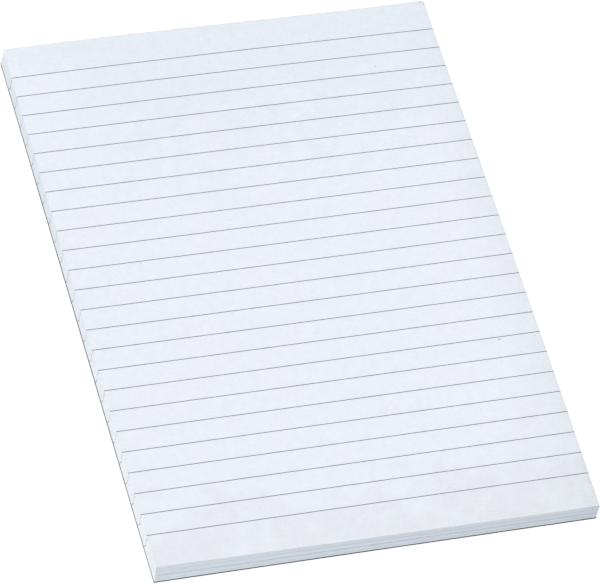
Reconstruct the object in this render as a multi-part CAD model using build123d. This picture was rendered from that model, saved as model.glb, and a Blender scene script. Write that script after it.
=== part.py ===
from build123d import *
import math
import os

# An A5 ruled writing pad: loose leaves on a chipboard back, held along the head by gum.
# Lengths are in millimetres. X runs along the rules, +Y points to the glued head and +Z is up.
# The origin is the middle of the underside, where the board lies on the table.

# Leaves, cut to A5 in one stroke after they were stacked
SHEET_WIDTH = 148.0
SHEET_LENGTH = 210.0
# Leaves in each lift, counted from the board up: the stack was made up from four lifts
LIFT_LEAVES = (15, 20, 24, 21)
# Height that one leaf adds where the gum holds the stack tight, and where air lies between
PRESSED_LEAF = 0.0845
LOOSE_LEAF = 0.091
# Length behind the head over which the stack swells from pressed to loose
SWELL_LENGTH = 80.0
SWELL_STEPS = 5

# How far the cut edges of single leaves scatter, and how far every other lift stands back
EDGE_SCATTER = 0.06
LIFT_SETBACK = 0.12
# How far the foot leans back from the board up to the top leaf, where the knife pulled the stack
FOOT_LEAN = 0.3

# Chipboard back, cut together with the leaves
BOARD_THICKNESS = 0.6

# Film of gum on the head, which thins over its upper and lower edge where the brush ran off
GUM_THICKNESS = 0.3
GUM_EDGE_THICKNESS = 0.12
GUM_EDGE_HEIGHT = 0.8

# Feint ruling on the top leaf: rules fill the leaf down to the last that leaves a foot margin
RULE_PITCH = 8.045
HEAD_MARGIN = 11.84
LEAST_FOOT_MARGIN = 12.0
RULE_WIDTH = 0.25
INK_THICKNESS = 0.02

# The golden ratio spreads the leaves' small offsets without a pattern that the eye can find
GOLDEN_RATIO = (math.sqrt(5.0) - 1.0) / 2.0

# Places that follow from the sizes: the whole pad, gum included, is centred on the origin
LEAF_COUNT = sum(LIFT_LEAVES)
FOOT_Y = -(SHEET_LENGTH + GUM_THICKNESS) / 2.0
HEAD_Y = FOOT_Y + SHEET_LENGTH
MIDDLE_Y = (FOOT_Y + HEAD_Y) / 2.0
RULED_LENGTH = SHEET_LENGTH - HEAD_MARGIN - LEAST_FOOT_MARGIN
RULE_COUNT = math.floor(RULED_LENGTH / RULE_PITCH) + 1


def looseness(y):
    """How loose the stack is at y: 0 at the gummed head, easing to 1 past the swell."""
    share = min((HEAD_Y - y) / SWELL_LENGTH, 1.0)
    return math.sin(share * math.pi / 2.0)


def height(leaves, y):
    """Height above the table of a number of leaves on the board at y."""
    leaf = PRESSED_LEAF + (LOOSE_LEAF - PRESSED_LEAF) * looseness(y)
    return BOARD_THICKNESS + leaves * leaf


def layer(lower, upper, start_y, end_y, width, raised=0.0):
    """Solid between two levels of the stack, given in leaves, from start_y up to end_y."""
    swell = [HEAD_Y - SWELL_LENGTH * step / SWELL_STEPS for step in range(SWELL_STEPS + 1)]
    inside = [y for y in sorted(swell) if start_y < y < end_y]
    stations = [start_y] + inside + [end_y]
    below = [(y, height(lower, y)) for y in stations]
    above = [(y, height(upper, y) + raised) for y in reversed(stations)]
    section = Plane.YZ * make_face(Polyline(*below, *above, close=True))
    return extrude(section, amount=width / 2.0, both=True)


def scatter(leaf, start):
    """A number from 0 to 1 that jumps about from leaf to leaf."""
    return (start + leaf * GOLDEN_RATIO) % 1.0


def lift_of(leaf):
    """Which lift a leaf belongs to, counted from the board up."""
    top = 0
    for lift, count in enumerate(LIFT_LEAVES):
        top += count
        if leaf < top:
            return lift
    return len(LIFT_LEAVES) - 1


def leaf_width():
    """Width of every leaf: the board's, less the room in which the leaves scatter."""
    return SHEET_WIDTH - EDGE_SCATTER


def leaf_shift(leaf):
    """How far a leaf lies to the right of the pad's middle."""
    return EDGE_SCATTER * (scatter(leaf, 0.25) - 0.5)


def leaf_foot(leaf):
    """Where a leaf ends at the foot: the cut leans back, and some lifts and leaves stand back more."""
    setback = FOOT_LEAN * leaf / LEAF_COUNT + LIFT_SETBACK * (lift_of(leaf) % 2)
    return FOOT_Y + setback + EDGE_SCATTER * scatter(leaf, 0.75)


def make_page_block():
    """The leaves, fused to one solid, each with its own edges at the foot and the sides."""
    leaves = []
    for leaf in range(LEAF_COUNT):
        sheet = layer(leaf, leaf + 1, leaf_foot(leaf), HEAD_Y, leaf_width())
        leaves.append(Pos(leaf_shift(leaf), 0, 0) * sheet)
    return Part() + leaves


def make_backing_board():
    """The chipboard, flush with the leaves' head and as large as a leaf."""
    size = (SHEET_WIDTH, SHEET_LENGTH, BOARD_THICKNESS)
    return Pos(0, MIDDLE_Y, 0) * Box(*size, align=(Align.CENTER, Align.CENTER, Align.MIN))


def make_head_gum():
    """The gum film over the head of the leaves and the board, thinner along both edges."""
    top = height(LEAF_COUNT, HEAD_Y)
    outline = [
        (HEAD_Y, 0),
        (HEAD_Y + GUM_EDGE_THICKNESS, 0),
        (HEAD_Y + GUM_THICKNESS, GUM_EDGE_HEIGHT),
        (HEAD_Y + GUM_THICKNESS, top - GUM_EDGE_HEIGHT),
        (HEAD_Y + GUM_EDGE_THICKNESS, top),
        (HEAD_Y, top),
    ]
    section = Plane.YZ * make_face(Polyline(*outline, close=True))
    return extrude(section, amount=SHEET_WIDTH / 2.0, both=True)


def make_feint_ruling():
    """Thin strips of ink on the top leaf, from one long edge to the other."""
    side = leaf_shift(LEAF_COUNT - 1)
    rules = []
    for rule in range(RULE_COUNT):
        upper_y = HEAD_Y - HEAD_MARGIN - rule * RULE_PITCH + RULE_WIDTH / 2.0
        lower_y = upper_y - RULE_WIDTH
        ink = layer(LEAF_COUNT, LEAF_COUNT, lower_y, upper_y, leaf_width(), INK_THICKNESS)
        rules.append(Pos(side, 0, 0) * ink)
    return Compound(children=rules)


os.makedirs("parts", exist_ok=True)
export_step(make_page_block(), "parts/page_block.step")
export_step(make_backing_board(), "parts/backing_board.step")
export_step(make_head_gum(), "parts/head_gum.step")
export_step(make_feint_ruling(), "parts/feint_ruling.step")
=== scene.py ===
import bmesh
import bpy
import math
import random
from mathutils import Matrix, Quaternion, Vector, noise


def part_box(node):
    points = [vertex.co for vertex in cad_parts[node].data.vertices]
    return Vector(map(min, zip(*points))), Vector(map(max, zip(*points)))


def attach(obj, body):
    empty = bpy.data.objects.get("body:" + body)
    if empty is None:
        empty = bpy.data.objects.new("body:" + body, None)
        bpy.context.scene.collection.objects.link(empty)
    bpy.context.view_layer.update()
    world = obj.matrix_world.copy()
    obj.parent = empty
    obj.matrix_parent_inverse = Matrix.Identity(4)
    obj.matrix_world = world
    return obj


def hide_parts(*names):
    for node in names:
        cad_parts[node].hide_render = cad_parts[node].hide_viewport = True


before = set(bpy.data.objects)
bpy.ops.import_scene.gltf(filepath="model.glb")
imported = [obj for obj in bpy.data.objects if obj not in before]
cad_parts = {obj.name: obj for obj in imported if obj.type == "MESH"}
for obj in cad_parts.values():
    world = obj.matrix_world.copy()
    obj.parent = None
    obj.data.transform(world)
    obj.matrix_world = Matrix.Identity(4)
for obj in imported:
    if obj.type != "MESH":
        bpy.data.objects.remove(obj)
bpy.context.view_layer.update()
MM = 0.001


# Camera: a long lens, two metres off, that looks down on the pad from beyond its foot-left corner.
# It is rolled a little, so that the pad lies on a slant in the picture and fills it to the edges.
CAMERA_AIM = Vector((-0.667, -7.737, 7.757)) * MM
CAMERA_DISTANCE = 1917.9 * MM
CAMERA_BEARING = math.radians(26.203)
CAMERA_SLOPE = math.radians(52.858)
CAMERA_ROLL = math.radians(13.84)
# Focal length and width of the film, in mm
LENS_LENGTH = 352.64
FILM_WIDTH = 36.0

look = Vector((math.sin(CAMERA_BEARING), math.cos(CAMERA_BEARING), -math.tan(CAMERA_SLOPE)))
look.normalize()
lens = bpy.data.cameras.new("camera")
lens.sensor_width = FILM_WIDTH
lens.lens = LENS_LENGTH
camera = bpy.data.objects.new("camera", lens)
camera.location = CAMERA_AIM - look * CAMERA_DISTANCE
turn = look.to_track_quat("-Z", "Y") @ Quaternion((0.0, 0.0, 1.0), CAMERA_ROLL)
camera.rotation_euler = turn.to_euler()
bpy.context.scene.collection.objects.link(camera)
bpy.context.scene.camera = camera
bpy.context.scene.view_settings.view_transform = "Standard"


# Studio light: an even grey room with white walls low down, and one large soft lamp high on the
# left and a little behind the head, which leaves the foot side in shade.
ROOM_LIGHT = 0.52
LAMP_STRENGTH = 1.6
LAMP_SPREAD = math.radians(40.0)
TOWARDS_LAMP = Vector((-0.348, 0.188, 0.919))
# Where the white walls end and the grey begins, from 0 at eye level to 1 overhead
WALL_END = 0.2
GREY_START = 0.4


def add_node(tree, kind, inputs=None, stops=None, **settings):
    """Adds a shader node. Inputs hold values or other nodes' sockets, stops a ramp's colours."""
    added = tree.nodes.new("ShaderNode" + kind)
    for name, value in settings.items():
        setattr(added, name, value)
    for name, value in (inputs or {}).items():
        if isinstance(value, bpy.types.NodeSocket):
            tree.links.new(value, added.inputs[name])
        else:
            added.inputs[name].default_value = value
    for place, (position, colour) in enumerate(stops or ()):
        stop = added.color_ramp.elements[place] if place < 2 else added.color_ramp.elements.new(position)
        stop.position = position
        stop.color = colour
    return added


room = bpy.data.worlds.new("studio_room")
room.use_nodes = True
room.node_tree.nodes.clear()
heading = add_node(room.node_tree, "TexCoord")
rise = add_node(room.node_tree, "SeparateXYZ", {"Vector": heading.outputs["Generated"]})
wall = add_node(
    room.node_tree,
    "ValToRGB",
    {"Fac": rise.outputs["Z"]},
    stops=((WALL_END, (1.0, 1.0, 1.0, 1.0)), (GREY_START, (ROOM_LIGHT, ROOM_LIGHT, ROOM_LIGHT, 1.0))),
)
glow = add_node(room.node_tree, "Background", {"Color": wall.outputs["Color"], "Strength": 1.0})
add_node(room.node_tree, "OutputWorld", {"Surface": glow.outputs["Background"]})
bpy.context.scene.world = room

lamp_data = bpy.data.lights.new("large_soft_lamp", "SUN")
lamp_data.energy = LAMP_STRENGTH
lamp_data.angle = LAMP_SPREAD
lamp = bpy.data.objects.new("large_soft_lamp", lamp_data)
lamp.rotation_euler = TOWARDS_LAMP.to_track_quat("Z", "Y").to_euler()
bpy.context.scene.collection.objects.link(lamp)


# Table: a white studio table lit from below, so that the pad stands on clean white with no shadow.
# It is a plain pale disc of many metres, large enough for every view.
TABLE_RADIUS = 30.0
TABLE_DROP = 0.01 * MM
TABLE_GLOW = 1.02


def new_material(name):
    """An empty node material, and its tree."""
    made = bpy.data.materials.new(name)
    made.use_nodes = True
    made.node_tree.nodes.clear()
    return made, made.node_tree


shape = bmesh.new()
bmesh.ops.create_circle(shape, cap_ends=True, segments=96, radius=TABLE_RADIUS)
bmesh.ops.translate(shape, verts=shape.verts, vec=(0.0, 0.0, -TABLE_DROP))
table_mesh = bpy.data.meshes.new("table")
shape.to_mesh(table_mesh)
shape.free()
# Opal glass lit evenly from below: it shows as flat white, with no sheen
opal_glass, tree = new_material("opal_table_top")
glow = add_node(tree, "Emission", {"Color": (1.0, 1.0, 1.0, 1.0), "Strength": TABLE_GLOW})
add_node(tree, "OutputMaterial", {"Surface": glow.outputs["Emission"]})
table_mesh.materials.append(opal_glass)
table = bpy.data.objects.new("table", table_mesh)
bpy.context.scene.collection.objects.link(table)


# Back: one sheet of grey chipboard, pressed from waste-paper pulp. It is the pad's stiff underside
# and was cut through with the leaves, so the knife has crushed its edges a little.
BOARD_LOW, BOARD_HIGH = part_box("backing_board")
BOARD_TOP = BOARD_HIGH[2]
BOARD_CELLS = 48
# Steps up the board's cut edge: height, and how far the knife has rolled the edge in there
BOARD_STEPS = ((0.0, 0.06 * MM), (0.12 * MM, 0.0), (0.5 * MM, 0.0), (0.6 * MM, 0.03 * MM))
# How far the cut edge is frayed, in so many waves a metre
BOARD_FRAY = 0.04 * MM
FRAY_WAVES = 900.0
# How far the knife, turned aside by the stiff board, has cut it short at the foot
BOARD_SHORT = 0.12 * MM
# Points nearer to the board's outline than this are on its cut edge
ON_EDGE = 0.2 * MM


def paint(code):
    """The linear colour of an sRGB hex value such as #e8eef8."""
    parts = [int(code[place:place + 2], 16) / 255.0 for place in (1, 3, 5)]
    linear = [((part + 0.055) / 1.055) ** 2.4 if part > 0.04045 else part / 12.92 for part in parts]
    return (*linear, 1.0)


def raise_sheet(bm, sheet):
    """Extrudes the faces of a sheet, and gives the new faces and the new vertices."""
    grown = bmesh.ops.extrude_face_region(bm, geom=sheet)["geom"]
    faces = [part for part in grown if isinstance(part, bmesh.types.BMFace)]
    verts = [part for part in grown if isinstance(part, bmesh.types.BMVert)]
    return faces, verts


def set_down(name, bm, materials):
    """Makes the finished mesh a piece of the pad that rides on its one body."""
    bmesh.ops.recalc_face_normals(bm, faces=bm.faces)
    mesh = bpy.data.meshes.new(name)
    bm.to_mesh(mesh)
    bm.free()
    for material in materials:
        mesh.materials.append(material)
    piece = bpy.data.objects.new(name, mesh)
    bpy.context.scene.collection.objects.link(piece)
    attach(piece, "root")
    return piece


# Grey chipboard, uncoated: matt, mottled by the pulp of old print, with darker and paler fibres. Its
# grey is painted much darker than the board's own, as painted shadow along the pad's base.
chipboard, tree = new_material("grey_chipboard")
place = add_node(tree, "TexCoord").outputs["Object"]
# Pulp flocks are 2 to 4 mm across, single fibre bundles a third of a millimetre
flocks = add_node(tree, "TexNoise", {"Vector": place, "Scale": 350.0, "Detail": 3.0, "Roughness": 0.6})
fibres = add_node(tree, "TexNoise", {"Vector": place, "Scale": 3000.0, "Detail": 2.0, "Roughness": 0.7})
# The pulp's greys are darkened to paint the shadow at the base, as well as the board
pulp = add_node(
    tree,
    "ValToRGB",
    {"Fac": flocks.outputs[0]},
    stops=((0.3, paint("#393b3e")), (0.7, paint("#535559"))),
)
flecks = add_node(
    tree,
    "ValToRGB",
    {"Fac": fibres.outputs[0]},
    stops=((0.42, paint("#303134")), (0.6, paint("#929495"))),
)
mottle = add_node(
    tree,
    "Mix",
    {0: 0.3, 6: pulp.outputs["Color"], 7: flecks.outputs["Color"]},
    data_type="RGBA",
)
nap = add_node(tree, "Bump", {"Strength": 0.5, "Distance": 0.03 * MM, "Height": fibres.outputs[0]})
dry = add_node(tree, "MapRange", {"Value": flocks.outputs[0], "To Min": 0.86, "To Max": 0.97})
surface = add_node(
    tree,
    "BsdfPrincipled",
    {
        "Base Color": mottle.outputs[2],
        "Roughness": dry.outputs["Result"],
        "IOR": 1.5,
        "Specular IOR Level": 0.3,
        "Normal": nap.outputs["Normal"],
    },
)
add_node(tree, "OutputMaterial", {"Surface": surface.outputs["BSDF"]})

board_half = (Vector(BOARD_HIGH) - Vector(BOARD_LOW)) / 2.0
board_middle = (Vector(BOARD_HIGH) + Vector(BOARD_LOW)) / 2.0
shape = bmesh.new()
layer = bmesh.ops.create_grid(shape, x_segments=BOARD_CELLS, y_segments=BOARD_CELLS, size=1.0)["verts"]
bmesh.ops.scale(shape, verts=layer, vec=(board_half.x, board_half.y, 1.0))
bmesh.ops.translate(shape, verts=layer, vec=board_middle)
sheet = list(shape.faces)
for step, (height, roll) in enumerate(BOARD_STEPS):
    if step:
        lower = sheet
        sheet, layer = raise_sheet(shape, lower)
    # Only the lowest sheet stays, as the underside: the ones between would lie inside the board
    if step > 1:
        bmesh.ops.delete(shape, geom=lower, context="FACES")
    for vert in layer:
        vert.co.z = height
        out = vert.co.xy - board_middle.xy
        fray = roll + BOARD_FRAY * abs(noise.noise(Vector((vert.co.x, vert.co.y, height)) * FRAY_WAVES))
        if abs(abs(out.x) - board_half.x) < ON_EDGE:
            vert.co.x = board_middle.x + math.copysign(board_half.x - fray, out.x)
        if abs(abs(out.y) - board_half.y) < ON_EDGE:
            short = BOARD_SHORT if out.y < 0.0 else 0.0
            vert.co.y = board_middle.y + math.copysign(board_half.y - fray - short, out.y)
back = set_down("chipboard_back", shape, [chipboard])
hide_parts("backing_board")


# Leaves: eighty sheets of white offset paper, counted off in four lifts, stacked on the board and
# cut to size in one stroke. Each is its own thin sheet here, with its own place at the cut edges.
LEAVES_LOW, LEAVES_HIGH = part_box("page_block")
HEAD_Y = LEAVES_HIGH[1]
FOOT_Y = LEAVES_LOW[1]
MIDDLE_Y = (HEAD_Y + FOOT_Y) / 2.0
HALF_LENGTH = (HEAD_Y - FOOT_Y) / 2.0
HALF_WIDTH = LEAVES_HIGH[0]
# Leaves in each lift from the board up, and how far each lift stands back at the left and the right
LIFTS = (15, 20, 24, 21)
LEFT_SETBACKS = (0.04 * MM, 0.02 * MM, 0.0, 0.0)
RIGHT_SETBACKS = (0.14 * MM, 0.14 * MM, 0.1 * MM, 0.0)
# How far the lowest lift's left side bows in, halfway along the pad
LEFT_BOW = 0.07 * MM
# Air between the lifts at the foot, where no gum holds the leaves down
LIFT_AIR = (0.05 * MM, 0.1 * MM, 0.02 * MM)
AIR_REACH = 70.0 * MM
# Under each lift, how far the leaves are pushed back at the foot. A push fades over a few leaves, is
# stronger to the right by a share of itself, and varies by another, in so many waves a metre.
LIFT_PUSH = (0.19 * MM, 0.14 * MM, 0.21 * MM, 0.1 * MM)
PUSH_FADE = 3.0
PUSH_SKEW = 0.15
PUSH_SWAY = 0.4
PUSH_WAVES = 30.0
LEAF_COUNT = sum(LIFTS)
# How far the foot's cut leans back at the top leaf, in mm: for 1, across and across squared
FOOT_LEAN = (0.42, -0.41, 0.22)
# Share of its room that a leaf fills, and how far the cut edges of single leaves scatter
LEAF_FILL = 0.95
EDGE_SCATTER = 0.05 * MM
# Room left free round the leaves, and how far a leaf's foot wanders, in so many waves a metre. Each
# leaf wanders a little on from the one below.
EDGE_ROOM = 0.02 * MM
FOOT_WANDER = 0.02 * MM
WANDER_WAVES = 40.0
WANDER_STEP = 0.31
# Height of the top face in mm over the table. The stack is pressed down along the gummed head, most
# at its right corner. Rows are for 1, across and across squared, columns for 1, along and so on,
# where across and along run from -1 to 1.
STACK_RELIEF = (
    (7.671, -0.208, -0.179, 0.208),
    (-0.069, -0.476, -0.286, 0.384),
    (0.133, -0.108, -0.58, -0.299),
)
# Waves that the wet gum left in the leaves along the head, in mm: for 1, across and its powers
HEAD_WAVES = (-0.155, -0.848, 0.622, 0.91)
WAVE_REACH = 14.0 * MM
# The upper leaves' head-left corner is pulled in: how far at the top leaf, and from how far off
CORNER_PULL = 0.6 * MM
PULL_REACH = 18.0 * MM
# The knife's pull turned the leaves' right edge down: how far, and from how far in
EDGE_TURN = 0.24 * MM
TURN_WIDTH = 0.8 * MM
TURN_CUTS = (0.2 * MM, 0.45 * MM, 0.8 * MM)
LEAF_CELLS = (16, 20)
TOP_LEAF_CELLS = (48, 68)

cut = random.Random(80)
# Each leaf's own scatter at the left edge, the right edge and the foot
leaf_scatter = [[cut.random() * EDGE_SCATTER for edge in range(3)] for leaf in range(LEAF_COUNT)]


def stack_top(x, y):
    """Height of the top face over the table at a place on the pad."""
    across = x / HALF_WIDTH
    along = (y - MIDDLE_Y) / HALF_LENGTH
    height = 0.0
    for power, row in enumerate(STACK_RELIEF):
        height += across ** power * sum(part * along ** column for column, part in enumerate(row))
    near_head = max(0.0, 1.0 - (HEAD_Y - y) / WAVE_REACH) ** 2
    height += near_head * sum(part * across ** power for power, part in enumerate(HEAD_WAVES))
    return height * MM - EDGE_TURN * max(0.0, 1.0 - (HALF_WIDTH - x) / TURN_WIDTH) ** 2


def lift_of(leaf):
    """The lift that a leaf lies in, counted from the board up."""
    return next(lift for lift in range(len(LIFTS)) if leaf < sum(LIFTS[:lift + 1]))


def leaf_faces(leaf, x, y):
    """Heights of a leaf's underside and upper face at a place on the pad."""
    gape = max(0.0, 1.0 - (y - FOOT_Y) / AIR_REACH) ** 2
    room = (stack_top(x, y) - BOARD_TOP - gape * sum(LIFT_AIR)) / LEAF_COUNT
    under = BOARD_TOP + leaf * room + gape * sum(LIFT_AIR[:lift_of(leaf)])
    if leaf == LEAF_COUNT - 1:
        return under, under + room
    return under, under + room * LEAF_FILL


def corner_pull(share, y):
    """How far the left side is pulled in at y, at a share of the stack's height."""
    return CORNER_PULL * share * max(0.0, 1.0 - (HEAD_Y - y) / PULL_REACH) ** 2


def leaf_side(leaf, side, y):
    """Where a leaf's left (-1) or right (1) edge lies at y."""
    if side > 0:
        return HALF_WIDTH - EDGE_ROOM - leaf_scatter[leaf][1] - RIGHT_SETBACKS[lift_of(leaf)]
    setback = LEFT_SETBACKS[lift_of(leaf)] + leaf_scatter[leaf][0]
    if lift_of(leaf) == 0:
        setback += LEFT_BOW * (1.0 - ((y - MIDDLE_Y) / HALF_LENGTH) ** 2)
    return -HALF_WIDTH + EDGE_ROOM + setback + corner_pull((leaf + 1) / LEAF_COUNT, y)


def leaf_foot(leaf, x):
    """Where a leaf ends at the foot: the cut's lean, the pushes, its own scatter and a slight wander."""
    across = x / HALF_WIDTH
    risen = ((leaf + 1) / LEAF_COUNT) ** 2
    lean = risen * sum(part * across ** power for power, part in enumerate(FOOT_LEAN))
    push = 0.0
    for lift, most in enumerate(LIFT_PUSH):
        apart = abs(leaf + 0.5 - sum(LIFTS[:lift]))
        uneven = 1.0 + PUSH_SKEW * across + PUSH_SWAY * noise.noise(Vector((x * PUSH_WAVES, lift, 1.0)))
        push += most * math.exp(-apart / PUSH_FADE) * uneven
    wander = FOOT_WANDER * noise.noise(Vector((x * WANDER_WAVES, leaf * WANDER_STEP, 5.0)))
    return FOOT_Y + EDGE_ROOM + lean * MM + push + leaf_scatter[leaf][2] + wander


def cut_for_turn(bm):
    """Cuts a grid two units wide along the lines where the leaves' right edge turns down."""
    for inset in TURN_CUTS:
        line = (1.0 - inset / HALF_WIDTH, 0.0, 0.0)
        geometry = bm.verts[:] + bm.edges[:] + bm.faces[:]
        bmesh.ops.bisect_plane(bm, geom=geometry, plane_co=line, plane_no=(1.0, 0.0, 0.0))


def gather(whole, part):
    """Adds a small finished mesh to the whole one, which is quicker than shaping it in there."""
    carried = bpy.data.meshes.new("carried")
    part.to_mesh(carried)
    part.free()
    whole.from_mesh(carried)
    bpy.data.meshes.remove(carried)


def add_leaf(stack, leaf, cells):
    """Adds a leaf to a stack: a flat grid laid on the leaf below, then raised by its thickness."""
    bm = bmesh.new()
    level = bm.verts.layers.float.new("level")
    bmesh.ops.create_grid(bm, x_segments=cells[0], y_segments=cells[1], size=1.0)
    if leaf == LEAF_COUNT - 1:
        cut_for_turn(bm)
    sheet = list(bm.faces)
    right = leaf_side(leaf, 1, HEAD_Y)
    for vert in bm.verts:
        left = leaf_side(leaf, -1, MIDDLE_Y + vert.co.y * HALF_LENGTH)
        x = left + (right - left) * (vert.co.x + 1.0) / 2.0
        foot = leaf_foot(leaf, x)
        y = foot + (HEAD_Y - foot) * (vert.co.y + 1.0) / 2.0
        vert.co = (x, y, leaf_faces(leaf, x, y)[0])
        vert[level] = leaf
    upper_faces, upper = raise_sheet(bm, sheet)
    for vert in upper:
        vert.co.z = leaf_faces(leaf, vert.co.x, vert.co.y)[1]
        vert[level] = leaf + 1.0
    flat_faces = set(sheet) | set(upper_faces)
    for face in bm.faces:
        face.smooth = face in flat_faces
        face.material_index = 0 if face in flat_faces else 1
    for edge in bm.edges:
        edge.smooth = all(face in flat_faces for face in edge.link_faces)
    gather(stack, bm)


# White offset paper, uncoated and lightly calendered: matt and bluish from its brightener. Its colour is
# painted bluer and darker at the head, greyer and darker at the foot and brightest in the middle:
# painted light and shade. Its fibres lie in faint clouds and make a fine tooth.
paper, tree = new_material("white_offset_paper")
# Places across, along and aslant the leaf, from its middle, between which its colour turns
LEFT_PART = (-HALF_WIDTH, -40.0 * MM)
HEAD_PART = (20.0 * MM, 80.0 * MM)
RIGHT_STRIP = (60.0 * MM, HALF_WIDTH)
DARKER_CORNER = (75.0 * MM, 125.0 * MM)
place = add_node(tree, "TexCoord").outputs["Object"]
# Clouds of 12 mm in hue and of 3 mm in depth, and a tooth drawn 0.6 mm coarse, since the real one
# can't show
clouds = add_node(tree, "TexNoise", {"Vector": place, "Scale": 80.0, "Detail": 2.0, "Roughness": 0.6})
formation = add_node(
    tree,
    "TexNoise",
    {"Vector": place, "Scale": 350.0, "Detail": 4.0, "Roughness": 0.7},
)
tooth = add_node(tree, "TexNoise", {"Vector": place, "Scale": 1700.0, "Detail": 2.0, "Roughness": 0.6})
axes = add_node(tree, "SeparateXYZ", {"Vector": place})
# Place for the painted light and shade, from foot to head, 0 to 1, blurred by the clouds
foot_to_head_light = add_node(
    tree,
    "MapRange",
    {
        "Value": axes.outputs["Y"],
        "From Min": FOOT_Y,
        "From Max": HEAD_Y,
        "To Min": -0.25,
        "To Max": 0.75,
    },
)
blurred = add_node(
    tree,
    "Math",
    {0: clouds.outputs[0], 1: 0.5, 2: foot_to_head_light.outputs["Result"]},
    operation="MULTIPLY_ADD",
)
# In the left part of the head half it stays nearer the middle's brighter colour
leftward = add_node(
    tree,
    "MapRange",
    {
        "Value": axes.outputs["X"],
        "From Min": LEFT_PART[0],
        "From Max": LEFT_PART[1],
        "To Min": -0.35,
        "To Max": 0.0,
    },
)
headward = add_node(
    tree,
    "MapRange",
    {"Value": axes.outputs["Y"], "From Min": HEAD_PART[0], "From Max": HEAD_PART[1]},
)
painted_light = add_node(
    tree,
    "Math",
    {0: leftward.outputs["Result"], 1: headward.outputs["Result"], 2: blurred.outputs[0]},
    operation="MULTIPLY_ADD",
)
# Painted light and shade: greyer and darker at the foot, brightest in the middle, bluer and darker at
# the head
tint_and_painted_shade = add_node(
    tree,
    "ValToRGB",
    {"Fac": painted_light.outputs[0]},
    stops=(
        (0.0, paint("#e4e9ee")),
        (0.13, paint("#e9eef4")),
        (0.65, paint("#e9eef5")),
        (0.95, paint("#e4ebf3")),
    ),
)
hue = add_node(
    tree,
    "ValToRGB",
    {"Fac": clouds.outputs[0]},
    stops=((0.36, (1.0, 0.98, 1.0, 1.0)), (0.64, (0.98, 0.991, 0.987, 1.0))),
)
grain = add_node(
    tree,
    "MapRange",
    {"Value": tooth.outputs[0], "From Min": 0.3, "From Max": 0.7, "To Min": 0.97, "To Max": 1.03},
)
# The right edge is painted a little darker over its last 14 mm, less so towards the head: painted
# shade. The foot-right corner is a little darker too
right_shade_depth = add_node(
    tree,
    "MapRange",
    {
        "Value": axes.outputs["Y"],
        "From Min": HEAD_PART[0],
        "From Max": HEAD_PART[1],
        "To Min": 0.955,
        "To Max": 0.99,
    },
)
right_edge_shade = add_node(
    tree,
    "MapRange",
    {
        "Value": axes.outputs["X"],
        "From Min": RIGHT_STRIP[0],
        "From Max": RIGHT_STRIP[1],
        "To Min": 1.0,
        "To Max": right_shade_depth.outputs["Result"],
    },
)
diagonal = add_node(tree, "VectorMath", {0: place, 1: (0.7, -0.7, 0.0)}, operation="DOT_PRODUCT")
corner_darkening = add_node(
    tree,
    "MapRange",
    {
        "Value": diagonal.outputs["Value"],
        "From Min": DARKER_CORNER[0],
        "From Max": DARKER_CORNER[1],
        "To Min": 1.0,
        "To Max": 0.965,
    },
)
right_shade_and_corner = add_node(
    tree,
    "Math",
    {0: right_edge_shade.outputs["Result"], 1: corner_darkening.outputs["Result"]},
    operation="MULTIPLY",
)
thick = add_node(
    tree,
    "MapRange",
    {"Value": formation.outputs[0], "From Min": 0.3, "From Max": 0.7, "To Min": 0.975, "To Max": 1.025},
)
depth = add_node(
    tree,
    "Math",
    {0: grain.outputs["Result"], 1: thick.outputs["Result"]},
    operation="MULTIPLY",
)
# Tooth and formation, times the painted shade at the right edge and the darker foot-right corner
tooth_and_right_shade = add_node(tree, "Math", {0: depth.outputs[0], 1: right_shade_and_corner.outputs[0]}, operation="MULTIPLY")
flecked = add_node(
    tree,
    "Mix",
    {0: 1.0, 6: tint_and_painted_shade.outputs["Color"], 7: hue.outputs["Color"]},
    data_type="RGBA",
    blend_type="MULTIPLY",
)
body = add_node(
    tree,
    "Mix",
    {0: 1.0, 6: flecked.outputs[2], 7: tooth_and_right_shade.outputs[0]},
    data_type="RGBA",
    blend_type="MULTIPLY",
)
fuzz = add_node(tree, "Bump", {"Strength": 0.25, "Distance": 0.01 * MM, "Height": tooth.outputs[0]})
dry = add_node(tree, "MapRange", {"Value": clouds.outputs[0], "To Min": 0.86, "To Max": 0.94})
surface = add_node(
    tree,
    "BsdfPrincipled",
    {
        "Base Color": body.outputs[2],
        "Roughness": dry.outputs["Result"],
        "IOR": 1.5,
        "Specular IOR Level": 0.3,
        "Normal": fuzz.outputs["Normal"],
    },
)
add_node(tree, "OutputMaterial", {"Surface": surface.outputs["BSDF"]})

# The same paper where the guillotine cut it: rough fibre ends, streaked leaf by leaf along the cut. It
# is painted brightest at the foot-left corner and darker towards the right and towards the head: painted
# shade.
cut_edge, tree = new_material("guillotined_paper_edge")
# Strip at the foot's left end, over which the colour of the left side passes into that of the foot
CORNER_STRIP = (-HALF_WIDTH + 0.6 * MM, -HALF_WIDTH + 2.0 * MM)
place = add_node(tree, "TexCoord").outputs["Object"]
along = add_node(tree, "Mapping", {"Vector": place, "Scale": (22.0, 22.0, 0.0)})
level = add_node(tree, "Attribute", attribute_name="level")
rank = add_node(tree, "CombineXYZ", {"Z": level.outputs["Fac"]})
spread = add_node(
    tree,
    "VectorMath",
    {0: rank.outputs["Vector"], 1: (1.0, 1.0, 0.33), 2: along.outputs["Vector"]},
    operation="MULTIPLY_ADD",
)
# Streaks run 45 mm along the cut and are three leaves high, as fine as the picture can show
streaks = add_node(tree, "TexNoise", {"Vector": spread.outputs["Vector"], "Scale": 1.0, "Detail": 2.5})
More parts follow.
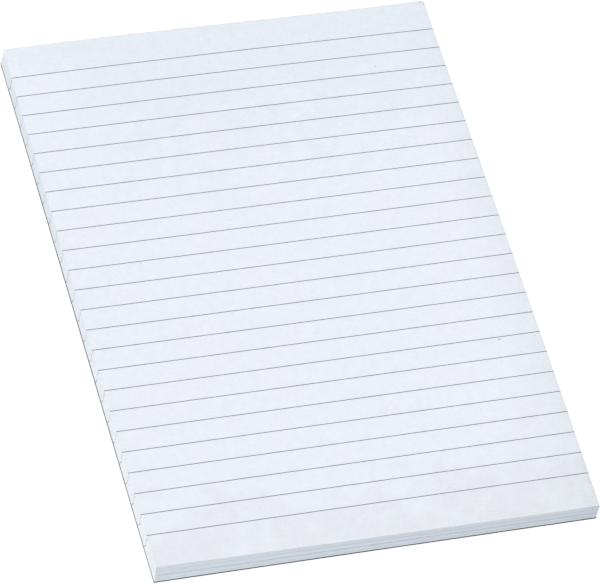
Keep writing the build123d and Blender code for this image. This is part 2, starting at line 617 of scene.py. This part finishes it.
# From the left side along the foot to the right side it is painted darker: painted shade
axes = add_node(tree, "SeparateXYZ", {"Vector": place})
rightward = add_node(
    tree,
    "MapRange",
    {"Value": axes.outputs["X"], "From Min": -HALF_WIDTH, "From Max": HALF_WIDTH},
)
rightward_painted_shade = add_node(
    tree,
    "ValToRGB",
    {"Fac": rightward.outputs["Result"]},
    stops=((0.0, paint("#e7f0f8")), (1.0, paint("#dce4ee"))),
)
# Along the left side, from foot to head, it is warmer, and it is painted darker towards the head:
# painted shade
headward = add_node(
    tree,
    "MapRange",
    {"Value": axes.outputs["Y"], "From Min": FOOT_Y, "From Max": HEAD_Y},
)
left_side_shade = add_node(
    tree,
    "ValToRGB",
    {"Fac": headward.outputs["Result"]},
    stops=(
        (0.0, (0.99, 0.95, 0.9, 1.0)),
        (0.31, (0.965, 0.93, 0.9, 1.0)),
        (0.69, (0.85, 0.84, 0.825, 1.0)),
        (1.0, (0.83, 0.82, 0.81, 1.0)),
    ),
)
off_side = add_node(
    tree,
    "MapRange",
    {"Value": axes.outputs["X"], "From Min": CORNER_STRIP[0], "From Max": CORNER_STRIP[1]},
)
side_shade_into_foot = add_node(
    tree,
    "Mix",
    {0: off_side.outputs["Result"], 6: left_side_shade.outputs["Color"], 7: (0.97, 0.97, 0.97, 1.0)},
    data_type="RGBA",
)
# Both painted shades of the cut edges together
painted_light = add_node(
    tree,
    "Mix",
    {0: 1.0, 6: rightward_painted_shade.outputs["Color"], 7: side_shade_into_foot.outputs[2]},
    data_type="RGBA",
    blend_type="MULTIPLY",
)
streaked = add_node(
    tree,
    "MapRange",
    {"Value": streaks.outputs[0], "From Min": 0.3, "From Max": 0.7, "To Min": 0.99, "To Max": 1.07},
)
tone = add_node(
    tree,
    "Mix",
    {0: 1.0, 6: painted_light.outputs[2], 7: streaked.outputs["Result"]},
    data_type="RGBA",
    blend_type="MULTIPLY",
)
# Fibre ends are drawn a fifth of a millimetre coarse, so that they can show
ends = add_node(tree, "TexNoise", {"Vector": place, "Scale": 5000.0, "Detail": 2.0})
burr = add_node(tree, "Bump", {"Strength": 0.4, "Distance": 0.01 * MM, "Height": ends.outputs[0]})
surface = add_node(
    tree,
    "BsdfPrincipled",
    {
        "Base Color": tone.outputs[2],
        "Roughness": 0.95,
        "IOR": 1.5,
        "Specular IOR Level": 0.2,
        "Normal": burr.outputs["Normal"],
    },
)
add_node(tree, "OutputMaterial", {"Surface": surface.outputs["BSDF"]})

first = 0
for lift, count in enumerate(LIFTS):
    shape = bmesh.new()
    for leaf in range(first, min(first + count, LEAF_COUNT - 1)):
        add_leaf(shape, leaf, LEAF_CELLS)
    lift_piece = set_down(f"leaves_lift_{lift + 1}", shape, [paper, cut_edge])
    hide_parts("page_block")
    first += count

shape = bmesh.new()
add_leaf(shape, LEAF_COUNT - 1, TOP_LEAF_CELLS)
top_leaf = set_down("top_leaf", shape, [paper, cut_edge])
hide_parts("page_block")


# Gum: padding gum brushed over the head of leaves and board, which dried to a milky film. It holds
# the pad together, stands up as a fine bead along the top leaf and has run round the left corner.
GUM_LOW, GUM_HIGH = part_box("head_gum")
GUM_FILM = GUM_HIGH[1] - GUM_LOW[1]
GUM_CELLS = (74, 8)
GUM_BEAD = 0.02 * MM
GUM_INSET = 0.01 * MM
# Shares of the film's full thickness: at its rim, a narrow band, at its thinnest elsewhere, and what
# the brush adds to that
RIM_SHARE = 0.55
RIM_BAND = 0.01
THIN_SHARE = 0.65
BRUSHED_SHARE = 0.33
# Waves of the brushed thickness, in a metre along the head and over the height of the stack
BRUSH_WAVES = (90.0, 3.0)
# The run round the left corner: its length along the side, its half height and the height of its
# middle, how far in its underside lies, and its thickness
RUN_LENGTH = 4.0 * MM
RUN_HALF_HEIGHT = 2.6 * MM
RUN_MIDDLE = 3.2 * MM
RUN_SEAT = 0.06 * MM
RUN_FILM = 0.055 * MM

# Padding gum, a brushed and dried acetate dispersion: warm white, half clear, with a low sheen and
# long streaks from the brush.
gum, tree = new_material("dried_padding_gum")
place = add_node(tree, "TexCoord").outputs["Object"]
# Brush streaks run 12 mm along the head and are half a millimetre apart
stroke = add_node(tree, "Mapping", {"Vector": place, "Scale": (80.0, 400.0, 2000.0)})
streaks = add_node(tree, "TexNoise", {"Vector": stroke.outputs["Vector"], "Scale": 1.0, "Detail": 3.0})
milk = add_node(
    tree,
    "ValToRGB",
    {"Fac": streaks.outputs[0]},
    stops=((0.3, paint("#dfe0dd")), (0.7, paint("#ecedeb"))),
)
ridges = add_node(tree, "Bump", {"Strength": 0.5, "Distance": 0.04 * MM, "Height": streaks.outputs[0]})
sheen = add_node(tree, "MapRange", {"Value": streaks.outputs[0], "To Min": 0.38, "To Max": 0.55})
surface = add_node(
    tree,
    "BsdfPrincipled",
    {
        "Base Color": milk.outputs["Color"],
        "Roughness": sheen.outputs["Result"],
        "IOR": 1.47,
        "Normal": ridges.outputs["Normal"],
    },
)
add_node(tree, "OutputMaterial", {"Surface": surface.outputs["BSDF"]})

# The same gum where it ran on as a thin wash, which leaves the cut edge a shade greyer.
thin_gum, tree = new_material("thin_gum_wash")
place = add_node(tree, "TexCoord").outputs["Object"]
# The wash gathers between the leaves, drawn a third of a millimetre apart
dregs = add_node(tree, "TexNoise", {"Vector": place, "Scale": 3000.0, "Detail": 2.0})
wash = add_node(
    tree,
    "ValToRGB",
    {"Fac": dregs.outputs[0]},
    stops=((0.3, paint("#d7dbde")), (0.7, paint("#e1e5e8"))),
)
surface = add_node(
    tree,
    "BsdfPrincipled",
    {"Base Color": wash.outputs["Color"], "Roughness": 0.6, "IOR": 1.47, "Specular IOR Level": 0.4},
)
add_node(tree, "OutputMaterial", {"Surface": surface.outputs["BSDF"]})

shape = bmesh.new()
grid = bmesh.ops.create_grid(shape, x_segments=GUM_CELLS[0], y_segments=GUM_CELLS[1], size=1.0)
# The film's thickness, kept by place, since the points that are raised are new ones
brushed = {}
for vert in grid["verts"]:
    across, up = vert.co.x, (vert.co.y + 1.0) / 2.0
    x = across * (HALF_WIDTH - GUM_INSET) + corner_pull(up, HEAD_Y) * (1.0 - across) / 2.0
    vert.co = (x, HEAD_Y, up * (stack_top(x, HEAD_Y) + GUM_BEAD))
    rim = abs(across) > 1.0 - RIM_BAND or not RIM_BAND < up < 1.0 - RIM_BAND
    wave = 0.5 + 0.5 * noise.noise(Vector((x * BRUSH_WAVES[0], up * BRUSH_WAVES[1], 2.0)))
    share = RIM_SHARE if rim else THIN_SHARE + BRUSHED_SHARE * wave
    brushed[(round(vert.co.x, 7), round(vert.co.z, 7))] = GUM_FILM * share
outside = raise_sheet(shape, list(shape.faces))[1]
for vert in outside:
    vert.co.y += brushed[(round(vert.co.x, 7), round(vert.co.z, 7))]
# The run: a flat tongue of gum on the left ends of the lower leaves, cut off square at the head
run = bmesh.ops.create_circle(shape, cap_ends=True, segments=24, radius=1.0)["verts"]
for vert in run:
    y = min(HEAD_Y, HEAD_Y + vert.co.x * RUN_LENGTH)
    z = RUN_MIDDLE + vert.co.y * RUN_HALF_HEIGHT
    pulled = corner_pull((z - BOARD_TOP) / (stack_top(-HALF_WIDTH, y) - BOARD_TOP), y)
    vert.co = (-HALF_WIDTH + RUN_SEAT + pulled, y, z)
tongue = list({face for vert in run for face in vert.link_faces})
outside = raise_sheet(shape, tongue)[1]
for vert in outside:
    vert.co.x -= RUN_FILM
for vert in list(run) + outside:
    for face in vert.link_faces:
        face.material_index = 1
film = set_down("head_gum_film", shape, [gum, thin_gum])
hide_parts("head_gum")


# Feint rules: thin grey ink, printed on the top leaf from edge to edge before the pad was cut.
# Each is a strip a quarter of a millimetre wide that lies on the paper.
RULES_LOW, RULES_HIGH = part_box("feint_ruling")
RULE_WIDTH = 0.25 * MM
RULE_PITCH = 8.045 * MM
RULE_COUNT = round((RULES_HIGH[1] - RULES_LOW[1] - RULE_WIDTH) / RULE_PITCH) + 1
# How far the ink stands up from the paper, and how deep it lies in it
INK_LIFT = 0.015 * MM
INK_SINK = 0.005 * MM
RULE_CELLS = 50

# Grey offset ink that has soaked into uncoated paper: matt, a little broken where fibres took less.
ink, tree = new_material("soaked_grey_ink")
place = add_node(tree, "TexCoord").outputs["Object"]
# The ink breaks up over the paper's tooth, about half a millimetre
breaks = add_node(tree, "TexNoise", {"Vector": place, "Scale": 1800.0, "Detail": 2.0})
take = add_node(
    tree,
    "ValToRGB",
    {"Fac": breaks.outputs[0]},
    stops=((0.35, paint("#666c77")), (0.65, paint("#767c87"))),
)
surface = add_node(
    tree,
    "BsdfPrincipled",
    {"Base Color": take.outputs["Color"], "Roughness": 0.85, "IOR": 1.5, "Specular IOR Level": 0.3},
)
add_node(tree, "OutputMaterial", {"Surface": surface.outputs["BSDF"]})

rule_places = [RULES_HIGH[1] - RULE_WIDTH / 2.0 - rule * RULE_PITCH for rule in range(RULE_COUNT)]
right = leaf_side(LEAF_COUNT - 1, 1, HEAD_Y)
shape = bmesh.new()
for middle in rule_places:
    left = leaf_side(LEAF_COUNT - 1, -1, middle)
    strip = bmesh.new()
    bmesh.ops.create_grid(strip, x_segments=RULE_CELLS, y_segments=1, size=1.0)
    cut_for_turn(strip)
    for vert in strip.verts:
        x = left + (right - left) * (vert.co.x + 1.0) / 2.0
        y = middle + vert.co.y * RULE_WIDTH / 2.0
        vert.co = (x, y, stack_top(x, y) - INK_SINK)
    for vert in raise_sheet(strip, list(strip.faces))[1]:
        vert.co.z += INK_SINK + INK_LIFT
    gather(shape, strip)
ruling = set_down("feint_rules", shape, [ink])
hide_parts("feint_ruling")


# Rule ends: every leaf was ruled to its edge, so the ends of its rules show on the cut sides. The
# sheets weren't in quite the same place when they were ruled, so the ends wander down the stack.
END_WIDTH = 0.26 * MM
END_DEPTH = 0.012 * MM
# How deep an end is sunk in the leaf's cut edge
END_SINK = 0.004 * MM
# Shares of a leaf's cut edge: what is clear above the ink, and what the ink has soaked into
CLEAR_SHARE = 0.02
UPPER_SHARE = 0.6
LOWER_SHARE = 0.75
# Rows of places down the stack: how far towards the foot the rules lie from those of the top leaf
UPPER_OFFSET = 0.65 * MM
UPPER_SCATTER = 0.16 * MM
LOWER_OFFSET = 0.86 * MM
LOWEST_OFFSET = -0.4 * MM
LOWER_SCATTER = 0.04 * MM
LOWER_LEAVES = 35

ruled = random.Random(24)
leaf_offsets = []
for leaf in range(LEAF_COUNT - 1):
    if leaf < LOWER_LEAVES:
        lean = LOWEST_OFFSET + (LOWER_OFFSET - LOWEST_OFFSET) * leaf / (LOWER_LEAVES - 1)
        leaf_offsets.append(lean + ruled.gauss(0.0, LOWER_SCATTER))
    else:
        leaf_offsets.append(UPPER_OFFSET + ruled.gauss(0.0, UPPER_SCATTER))
leaf_offsets.append(0.0)

shape = bmesh.new()
for leaf in range(LEAF_COUNT):
    row = bmesh.new()
    for side in (-1, 1):
        for middle in rule_places:
            y = middle - leaf_offsets[leaf]
            x = leaf_side(leaf, side, y) + side * (END_DEPTH / 2.0 - END_SINK)
            under, upper = leaf_faces(leaf, x, y)
            share = LOWER_SHARE if leaf < LOWER_LEAVES else UPPER_SHARE
            size = Vector((END_DEPTH, END_WIDTH, share * (upper - under)))
            centre = Vector((x, y, upper - (CLEAR_SHARE + share / 2.0) * (upper - under)))
            bmesh.ops.create_cube(row, size=1.0, matrix=Matrix.LocRotScale(centre, None, size))
    gather(shape, row)
set_down("rule_ends", shape, [ink])


# Specks: a few grey bits of bark and old pulp in the top leaf, one of them a cluster of grains, and two
# grey marks on its right head corner. They are flat grains in the paper's face, most well under 1 mm
# across.
SPECK_RISE = 0.012 * MM
# Place from the pad's middle, length and width of each, in mm, and its turn in degrees
SPECKS = (
    (59.2, -36.55, 0.34, 0.26, 20.0),
    (59.55, -36.37, 0.34, 0.24, 70.0),
    (59.95, -36.42, 0.36, 0.26, 110.0),
    (60.12, -36.72, 0.32, 0.22, 40.0),
    (59.7, -36.72, 0.36, 0.28, 0.0),
    (59.35, -36.9, 0.32, 0.22, 150.0),
    (30.5, 94.05, 0.34, 0.24, 30.0),
    (49.6, 79.85, 0.42, 0.32, 70.0),
    (-69.4, 98.25, 0.38, 0.26, 0.0),
    (-28.6, 65.65, 0.28, 0.2, 120.0),
    (-15.9, 24.35, 0.3, 0.22, 50.0),
    (-49.8, 11.65, 0.28, 0.22, 20.0),
    (-12.4, 2.85, 0.3, 0.2, 150.0),
    (27.3, -90.25, 0.34, 0.28, 80.0),
    (20.7, -72.25, 0.26, 0.2, 40.0),
    (72.65, 104.66, 1.2, 0.36, 4.0),
    (73.5, 103.65, 0.8, 0.3, 100.0),
)

# Bark and ink-stained pulp: dull grey, darker at the heart of each grain.
bark, tree = new_material("grey_pulp_speck")
place = add_node(tree, "TexCoord").outputs["Object"]
# Grains vary over a quarter of a millimetre
heart = add_node(tree, "TexNoise", {"Vector": place, "Scale": 4000.0, "Detail": 1.0})
shade = add_node(
    tree,
    "ValToRGB",
    {"Fac": heart.outputs[0]},
    stops=((0.35, paint("#666b75")), (0.65, paint("#8a8f98"))),
)
surface = add_node(
    tree,
    "BsdfPrincipled",
    {"Base Color": shade.outputs["Color"], "Roughness": 0.9, "IOR": 1.5, "Specular IOR Level": 0.3},
)
add_node(tree, "OutputMaterial", {"Surface": surface.outputs["BSDF"]})

shape = bmesh.new()
for x, y, length, width, turned in SPECKS:
    centre = Vector((x * MM, y * MM, stack_top(x * MM, y * MM)))
    size = Vector((length / 2.0 * MM, width / 2.0 * MM, SPECK_RISE))
    spun = Quaternion((0.0, 0.0, 1.0), math.radians(turned))
    bmesh.ops.create_icosphere(
        shape, subdivisions=1, radius=1.0, matrix=Matrix.LocRotScale(centre, spun, size)
    )
set_down("pulp_specks", shape, [bark])
